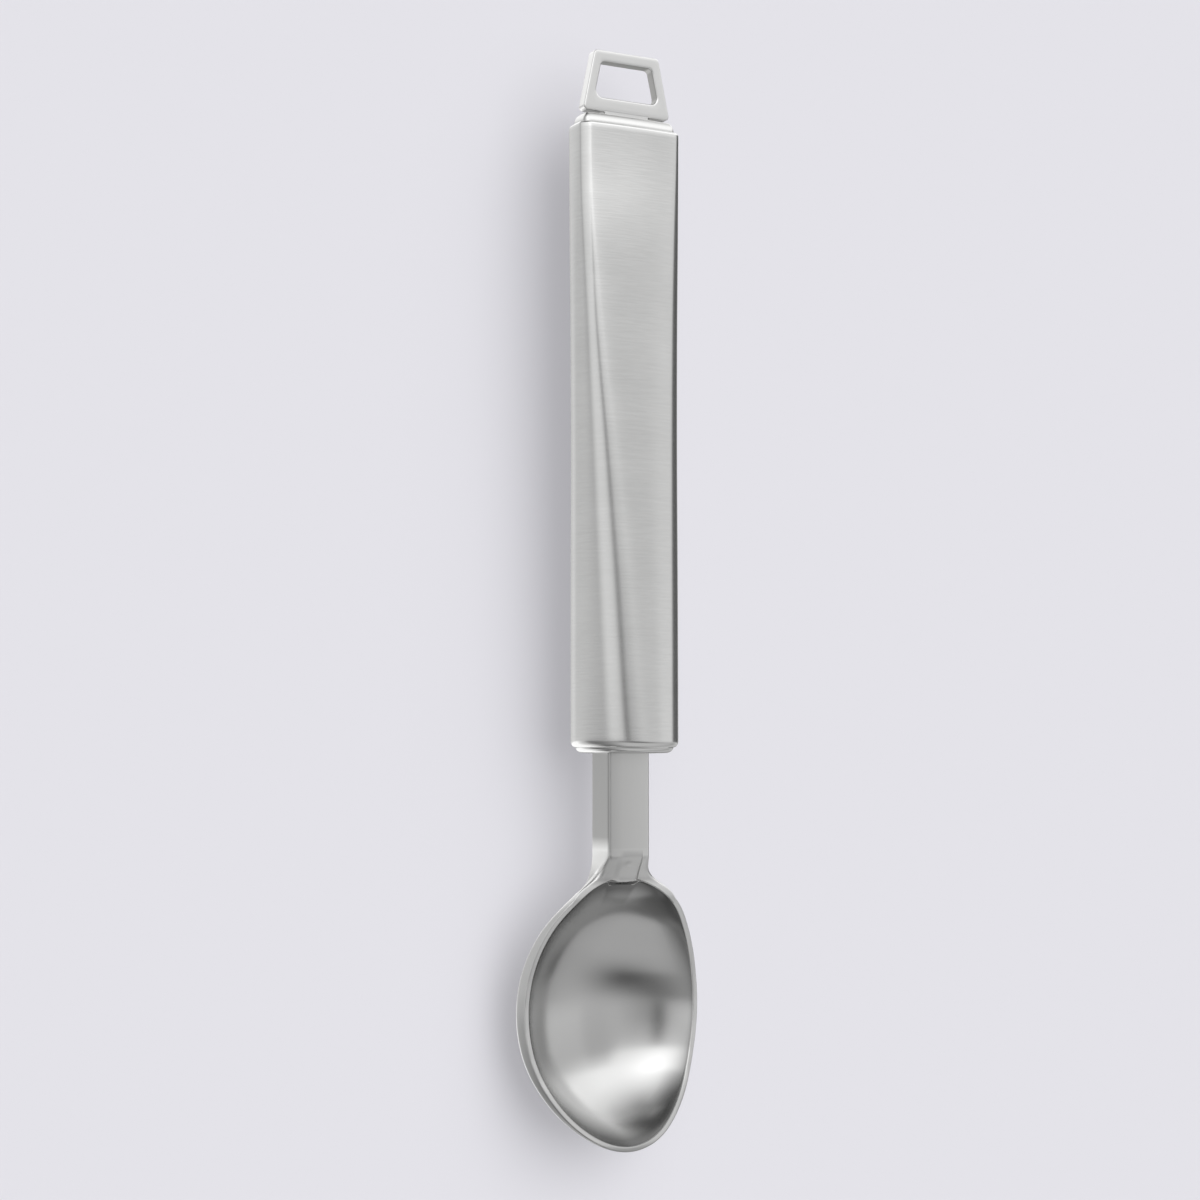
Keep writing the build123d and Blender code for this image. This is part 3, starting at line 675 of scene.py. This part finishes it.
def painted_lip_shade(mat):
    """Painted shade on the hollow's wall just under its lip, at root and tip: its base colour is darkened there."""
    nt = mat.node_tree
    bsdf = next(n for n in nt.nodes if n.type == "BSDF_PRINCIPLED")
    old = bsdf.inputs["Base Color"].links[0].from_socket
    uvn = nt.nodes.new("ShaderNodeUVMap")
    uvn.uv_map = "brush"
    sep = nt.nodes.new("ShaderNodeSeparateXYZ")
    nt.links.new(uvn.outputs["UV"], sep.inputs[0])
    # painted shade: strongest towards the tip and the root, and only just under the lip
    where = steps(nt, sep.outputs["X"], [(0.0, 0.66), (0.10, 0.62), (0.24, 0.0), (0.62, 0.0), (0.80, 0.40), (0.92, 0.58), (1.0, 0.60)])
    deep = steps(nt, sep.outputs["Y"], [(0.0, 1.0), (0.10, 1.0), (0.21, 0.50), (0.34, 0.0)])
    mul = nt.nodes.new("ShaderNodeMath")
    mul.operation = "MULTIPLY"
    nt.links.new(where, mul.inputs[0])
    nt.links.new(deep, mul.inputs[1])
    mix = nt.nodes.new("ShaderNodeMix")
    mix.data_type = "RGBA"
    mix.inputs["B"].default_value = (0.0, 0.0, 0.0, 1)
    nt.links.new(mul.outputs[0], mix.inputs["Factor"])
    nt.links.new(old, mix.inputs["A"])
    nt.links.new(mix.outputs["Result"], bsdf.inputs["Base Color"])
    return mat


# painted shade under the bowl's lip
painted_lip_shade(m_bowl_painted_lip_shade)

# the sides of the neck: painted shade along them, and a painted highlight where they flare into the root
m_side_painted_light = painted_light_along(brushed("steel_neck_sides_painted_light", (0.95, 0.95, 0.94), 0.32, 0.0, (2500, 300, 2500), 0.15),
                      [(-0.060, 0.72), (-0.0560, 0.80), (-0.0530, 1.0), (-0.0505, 0.95), (-0.0480, 0.45)])
# painted shade across the neck's front, darker to its left and lighter to its right
painted_light_along(m_neck_painted_shade, [(-0.0046, 0.80), (-0.0015, 0.96), (0.0046, 1.08)], "X")
# painted shade across the root's top, darkest a little in from its left edge
painted_light_along(m_root_painted_shade, [(-0.0100, 1.05), (-0.0060, 0.95), (-0.0042, 0.82), (-0.0015, 0.94), (0.0046, 1.04), (0.0100, 1.05)], "X")


def rim_finish():
    """The rim's flat top: ground, and darker towards the bowl's tip."""
    mat = brushed("steel_rim", (0.73, 0.73, 0.725), 0.36, 0.0, (900, 4000, 900), 0.05, spread=0.02, grain_rough=0.02)
    nt = mat.node_tree
    bsdf = next(n for n in nt.nodes if n.type == "BSDF_PRINCIPLED")
    tc = next(n for n in nt.nodes if n.type == "TEX_COORD")
    old = bsdf.inputs["Base Color"].links[0].from_socket
    sep = nt.nodes.new("ShaderNodeSeparateXYZ")
    nt.links.new(tc.outputs["Object"], sep.inputs[0])
    mr = nt.nodes.new("ShaderNodeMapRange")
    mr.interpolation_type = "SMOOTHSTEP"
    mr.inputs["From Min"].default_value = -0.103
    mr.inputs["From Max"].default_value = -0.086
    nt.links.new(sep.outputs["Y"], mr.inputs["Value"])
    mix = nt.nodes.new("ShaderNodeMix")
    mix.data_type = "RGBA"
    mix.inputs["A"].default_value = (0.40, 0.40, 0.397, 1)
    nt.links.new(mr.outputs["Result"], mix.inputs["Factor"])
    nt.links.new(old, mix.inputs["B"])
    nt.links.new(mix.outputs["Result"], bsdf.inputs["Base Color"])
    return mat


m_rim = rim_finish()

# ------------------------------------------------------------------- pieces
tube = tube_mesh()
upper = cap_mesh("upper_end_cap_dome", 95.0, 97.6, 1.3, 0.97)
lower = cap_mesh("lower_end_cap_dome", -29.3, -30.6, 1.6, 0.97)
plate = loop_mesh()
sv, sf, suv, rim_faces = bowl_shell()
shell = new_object("bowl_shell", row(sv), sf, suv)
for o in (tube, upper, lower, plate, shell):
    fix_normals(o)
root = build_root()
nv, nf = bar_mesh(np.concatenate([[-20.0], np.linspace(-24.0, -48.85, 12)]), tang=True)
neck = finish_bar(new_object("neck_bar", row(nv), nf))
bv, bf = bar_mesh(np.array([-48.85, -49.15]))
seam = finish_bar(new_object("neck_seam_band", row(bv), bf))

index = np.zeros(len(shell.data.polygons), np.int32)
index[rim_faces[0]:rim_faces[1]] = 1
index[rim_faces[1]:rim_faces[2]] = 2

for o, node, mat, slot in (
        (tube, "handle_tube", m_handle, "handle_steel"),
        (upper, "upper_end_cap", m_cap_top_painted_shade, "cap_steel"),
        (lower, "lower_end_cap", m_caps, "cap_steel"),
        (plate, "hanging_loop", m_loop, "loop_steel"),
        (shell, "bowl", m_bowl_painted_lip_shade, "bowl_steel"),
        (root, "bowl", m_root_painted_shade, "bowl_steel"),
        (neck, "neck_shank", m_neck_painted_shade, "neck_steel"),
        (seam, "neck_weld_seam", m_neck_painted_shade, "neck_steel")):
    o.data.materials.clear()
    o.data.materials.append(mat)
    if o is shell:
        o.data.materials.append(m_rim)
        o.data.materials.append(m_flank)
        o.data.polygons.foreach_set("material_index", index)
    elif o in (neck, seam, root):
        o.data.materials.append(m_side_painted_light)
        # faces turned to the sides get the sides' painted shade and painted highlight
        slots = [int(abs(f.normal.x) > 0.8) for f in o.data.polygons]
        if o is root:
            # where the hollow cuts it, the root gets the bowl's inside material, with its painted shade under the lip
            o.data.materials.append(m_bowl_painted_lip_shade)
            for k, f in enumerate(o.data.polygons):
                under = f.center.z / MM - AXIS_Z < rim_z(f.center.y / MM - MID_Y) - 0.7
                if f.normal.y < -0.4 and (f.normal.z < 0.55 or under):
                    slots[k] = 2
        o.data.polygons.foreach_set("material_index", slots)
    elif o is plate:
        # the hole's walls get the rougher steel with painted shade
        o.data.materials.append(m_hole_painted_shade)
        o.data.polygons.foreach_set("material_index", [
            int(abs(f.normal.z) < 0.6 and abs(f.center.x) < 0.00735 and 0.0995 < f.center.y < 0.1073)
            for f in o.data.polygons])
    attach(o, "root")
    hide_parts(node)

for node, mat in (("tang_weld", m_weld), ("loop_stem_weld", m_weld)):
    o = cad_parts[node]
    o.data.materials.clear()
    o.data.materials.append(mat)

# -------------------------------------------------------------- floor, light
TH = math.radians(28.0)
PH = math.radians(3.69)

fl = bpy.data.meshes.new("floor")
S = 6.0
fl.from_pydata([(-S, -S, 0), (S, -S, 0), (S, S, 0), (-S, S, 0)], [], [(0, 1, 2, 3)])
floor = bpy.data.objects.new("floor", fl)
bpy.context.scene.collection.objects.link(floor)
fm = bpy.data.materials.new("floor_pale")
fm.use_nodes = True
fb = next(n for n in fm.node_tree.nodes if n.type == "BSDF_PRINCIPLED")
fb.inputs["Base Color"].default_value = (0.7758, 0.7682, 0.8148, 1)
fb.inputs["Roughness"].default_value = 1.0
fb.inputs["Specular IOR Level"].default_value = 0.0
fl.materials.append(fm)
floor.visible_glossy = False


# soft light from overhead, a little from the tool's right and from the loop's
# end, in three widths for the floor; the metal gets its reflections from the world below
def overhead(name, share_, width, shadow=True):
    li = bpy.data.lights.new(name, "SUN")
    li.energy = math.pi * share_ / (math.cos(TILT) * math.cos(LEAN))
    li.angle = math.radians(width)
    li.use_shadow = shadow
    ob = bpy.data.objects.new(name, li)
    ob.rotation_euler = (-LEAN, TILT, 0)
    bpy.context.scene.collection.objects.link(ob)
    ob.visible_glossy = False
    return ob


TILT = math.radians(13.4)
LEAN = math.radians(18.0)
overhead("soft_narrow", 0.22, 55.6)
overhead("soft_wide", 0.25, 93)
overhead("fill", 0.53, 10, shadow=False)

world = bpy.data.worlds.new("studio")
bpy.context.scene.world = world
world.use_nodes = True
wt = world.node_tree
wt.nodes.clear()
WL = wt.links.new
out = wt.nodes.new("ShaderNodeOutputWorld")
tc = wt.nodes.new("ShaderNodeTexCoord")


def dot(vec):
    n = wt.nodes.new("ShaderNodeVectorMath")
    n.operation = "DOT_PRODUCT"
    n.inputs[1].default_value = vec
    WL(tc.outputs["Generated"], n.inputs[0])
    return n.outputs["Value"]


def calc(op, a, b=None, c=None, clamp=False):
    n = wt.nodes.new("ShaderNodeMath")
    n.operation = op
    n.use_clamp = clamp
    for i, v in enumerate((a, b, c)):
        if v is None:
            continue
        if isinstance(v, (int, float)):
            n.inputs[i].default_value = v
        else:
            WL(v, n.inputs[i])
    return n.outputs[0]


def lin(v):
    v = v / 255.0
    return v / 12.92 if v <= 0.04045 else ((v + 0.055) / 1.055) ** 2.4


def ramp(fac, stops, mode="LINEAR"):
    n = wt.nodes.new("ShaderNodeValToRGB")
    n.color_ramp.interpolation = mode
    el = n.color_ramp.elements
    while len(el) > 1:
        el.remove(el[-1])
    el[0].position = stops[0][0]
    el[0].color = (stops[0][1],) * 3 + (1,)
    for p_, v in stops[1:]:
        e = el.new(p_)
        e.color = (v, v, v, 1)
    WL(fac, n.inputs["Fac"])
    return n.outputs["Color"]


def blob(g0, sg, e0, se):
    """Soft patch of the studio centred on (g0, e0) degrees."""
    u = calc("DIVIDE", calc("SUBTRACT", gam, g0), sg)
    v = calc("DIVIDE", calc("SUBTRACT", ele, e0), se)
    r2 = calc("ADD", calc("MULTIPLY", u, u), calc("MULTIPLY", v, v))
    return calc("EXPONENT", calc("MULTIPLY", r2, -1.0))


right = dot((math.cos(TH), 0, math.sin(TH)))
toward = dot((-math.sin(TH), 0, math.cos(TH)))
along = dot((0, 1, 0))
# gam: angle round the tool's axis from the viewer, ele: angle along the tool
gam = calc("MULTIPLY", calc("ARCTAN2", right, toward), 180 / math.pi)
ele = calc("MULTIPLY", calc("ARCSINE", along), 180 / math.pi)

# what the handle sees: light and dark strips round its axis, and a dark gap
# straight behind the viewer
F_HANDLE = 0.74
HANDLE_ROUND = [(-180, 184), (-150, 192), (-135, 210), (-122, 202), (-112, 189), (-75, 188), (-60, 180),
                (-50, 172), (-42, 196), (-34, 212), (-12, 214), (12, 210), (34, 202), (50, 190), (64, 192),
                (72, 205), (107, 207), (117, 92), (150, 82), (180, 205)]
hand = ramp(calc("MULTIPLY_ADD", gam, 1 / 360.0, 0.5),
            [(a_ / 360.0 + 0.5, lin(v_) / F_HANDLE) for a_, v_ in HANDLE_ROUND])
gap = calc("MULTIPLY_ADD", blob(0, 6.5, 0, 60), -0.64, 1.0)
gap = calc("MULTIPLY", gap, calc("MULTIPLY_ADD", blob(9, 22, -3, 12), -0.42, 1.0))
gap = calc("MULTIPLY", gap, ramp(calc("MULTIPLY_ADD", ele, 1 / 180.0, 0.5),
                                 [((a_ + 90) / 180.0, v_) for a_, v_ in ((-90, 1), (-4, 1), (5, .93), (12, .88), (17, .88), (24, 0.94), (90, .94))]))
hand = calc("MULTIPLY", hand, gap)
# what the bowl sees: levels along the tool and round it, with soft patches
F_BOWL = 0.56
BOWL_ALONG = [(-90, 140), (-80, 156), (-68, 158), (-55, 157), (-38, 158), (-28, 154), (-14, 160), (0, 184),
              (10, 198), (20, 219), (31, 238), (43, 238), (54, 220), (64, 188), (74, 152), (90, 112)]
BOWL_ROUND = [(-180, .30), (-95, .26), (-62, .34), (-50, .46), (-40, .60), (-30, .74), (-18, .90), (-5, 1.0),
              (62, 1.0), (90, .93), (106, .86), (120, .72), (128, .75), (140, .95), (160, .9), (180, .3)]
PATCHES = [(27, 33, -19, 7.5, -0.88), (-2, 24, -12, 11, -0.52), (-2, 26, 38, 14, 0.36), (-45, 30, 62, 14, -0.40),
           (20, 30, 73, 7, -0.30), (-75, 35, 72, 14, -0.45), (118, 16, 28, 16, 0.25)]
bowl_env = calc("MULTIPLY",
                ramp(calc("MULTIPLY_ADD", ele, 1 / 180.0, 0.5),
                     [(a_ / 180.0 + 0.5, lin(v_) / F_BOWL) for a_, v_ in BOWL_ALONG]),
                ramp(calc("MULTIPLY_ADD", gam, 1 / 360.0, 0.5),
                     [(a_ / 360.0 + 0.5, v_) for a_, v_ in BOWL_ROUND]))
for g0, sg, e0, se, amount in PATCHES:
    bowl_env = calc("MULTIPLY", bowl_env, calc("MULTIPLY_ADD", blob(g0, sg, e0, se), amount, 1.0))
# what the bowl's flank and the corners turned down see
side = calc("MULTIPLY",
            ramp(calc("MULTIPLY_ADD", gam, 1 / 360.0, 0.5),
                 [(a_ / 360.0 + 0.5, v_) for a_, v_ in ((-180, 0), (-165, 1.35), (-110, 1.3), (-100, .95), (-84, .6),
                                                         (-72, 0), (180, 0))]),
            ramp(calc("MULTIPLY_ADD", ele, 1 / 180.0, 0.5),
                 [((a_ + 90) / 180.0, v_) for a_, v_ in ((-90, 0), (-64, 0), (-50, 1), (56, 1), (68, 0), (90, 0))]))
bowl_env = calc("MAXIMUM", bowl_env, side)
# the handle's strips hold for the directions near square to the tool, further
# up along it to the sides than in the middle
reach = ramp(calc("MULTIPLY_ADD", gam, 1 / 360.0, 0.5),
             [(a_ / 360.0 + 0.5, v_) for a_, v_ in ((-180, 7 / 180.0), (-50, 7 / 180.0), (-30, 0), (34, 0), (48, 7 / 180.0),
                                                     (180, 7 / 180.0))])
level = calc("MULTIPLY_ADD", ele, 1 / 180.0, 0.5)
win = calc("MULTIPLY",
           ramp(level, [((a_ + 90) / 180.0, v_) for a_, v_ in ((-90, 0), (-9, 0), (-4, 1), (90, 1))]),
           ramp(calc("SUBTRACT", level, reach), [((a_ + 90) / 180.0, v_) for a_, v_ in ((-90, 1), (10, 1), (22, 0), (90, 0))]))
mixer = wt.nodes.new("ShaderNodeMix")
mixer.data_type = "FLOAT"
WL(win, mixer.inputs["Factor"])
WL(bowl_env, mixer.inputs["A"])
WL(hand, mixer.inputs["B"])

bg1 = wt.nodes.new("ShaderNodeBackground")
WL(mixer.outputs["Result"], bg1.inputs["Color"])
bg2 = wt.nodes.new("ShaderNodeBackground")
bg2.inputs["Color"].default_value = (0.0, 0.0, 0.0, 1)
lp = wt.nodes.new("ShaderNodeLightPath")
ms = wt.nodes.new("ShaderNodeMixShader")
# only the viewer's own reflections see it, so the floor gets no stray light
seen = calc("MULTIPLY", lp.outputs["Is Glossy Ray"], calc("SUBTRACT", 1.0, lp.outputs["Diffuse Depth"], clamp=True))
WL(seen, ms.inputs["Fac"])
WL(bg2.outputs[0], ms.inputs[1])
WL(bg1.outputs[0], ms.inputs[2])
# past the floor's edge the viewer sees the floor's own pale tone
bg3 = wt.nodes.new("ShaderNodeBackground")
bg3.inputs["Color"].default_value = (0.7758, 0.7682, 0.8148, 1)
ms2 = wt.nodes.new("ShaderNodeMixShader")
WL(lp.outputs["Is Camera Ray"], ms2.inputs["Fac"])
WL(ms.outputs[0], ms2.inputs[1])
WL(bg3.outputs[0], ms2.inputs[2])
WL(ms2.outputs[0], out.inputs["Surface"])

# ------------------------------------------------------------------- camera
ax = np.array([math.cos(TH), 0, math.sin(TH)])
up = np.array([-math.sin(TH) * math.sin(PH), math.cos(PH), math.cos(TH) * math.sin(PH)])
back = np.array([-math.sin(TH) * math.cos(PH), -math.sin(PH), math.cos(TH) * math.cos(PH)])
pos = 457.6 * back - 4.85 * ax
cam_data = bpy.data.cameras.new("camera")
cam_data.sensor_width = 36.0
cam_data.lens = 36.0 * 2297.0 / 1200.0
cam_data.clip_start = 0.01
cam_data.clip_end = 50
cam = bpy.data.objects.new("camera", cam_data)
bpy.context.scene.collection.objects.link(cam)
p = row(pos)
cam.matrix_world = Matrix(((ax[0], up[0], back[0], p[0]),
                           (ax[1], up[1], back[1], p[1]),
                           (ax[2], up[2], back[2], p[2]),
                           (0, 0, 0, 1)))
bpy.context.scene.camera = cam
bpy.context.scene.view_settings.view_transform = "Standard"
bpy.context.scene.view_settings.look = "None"
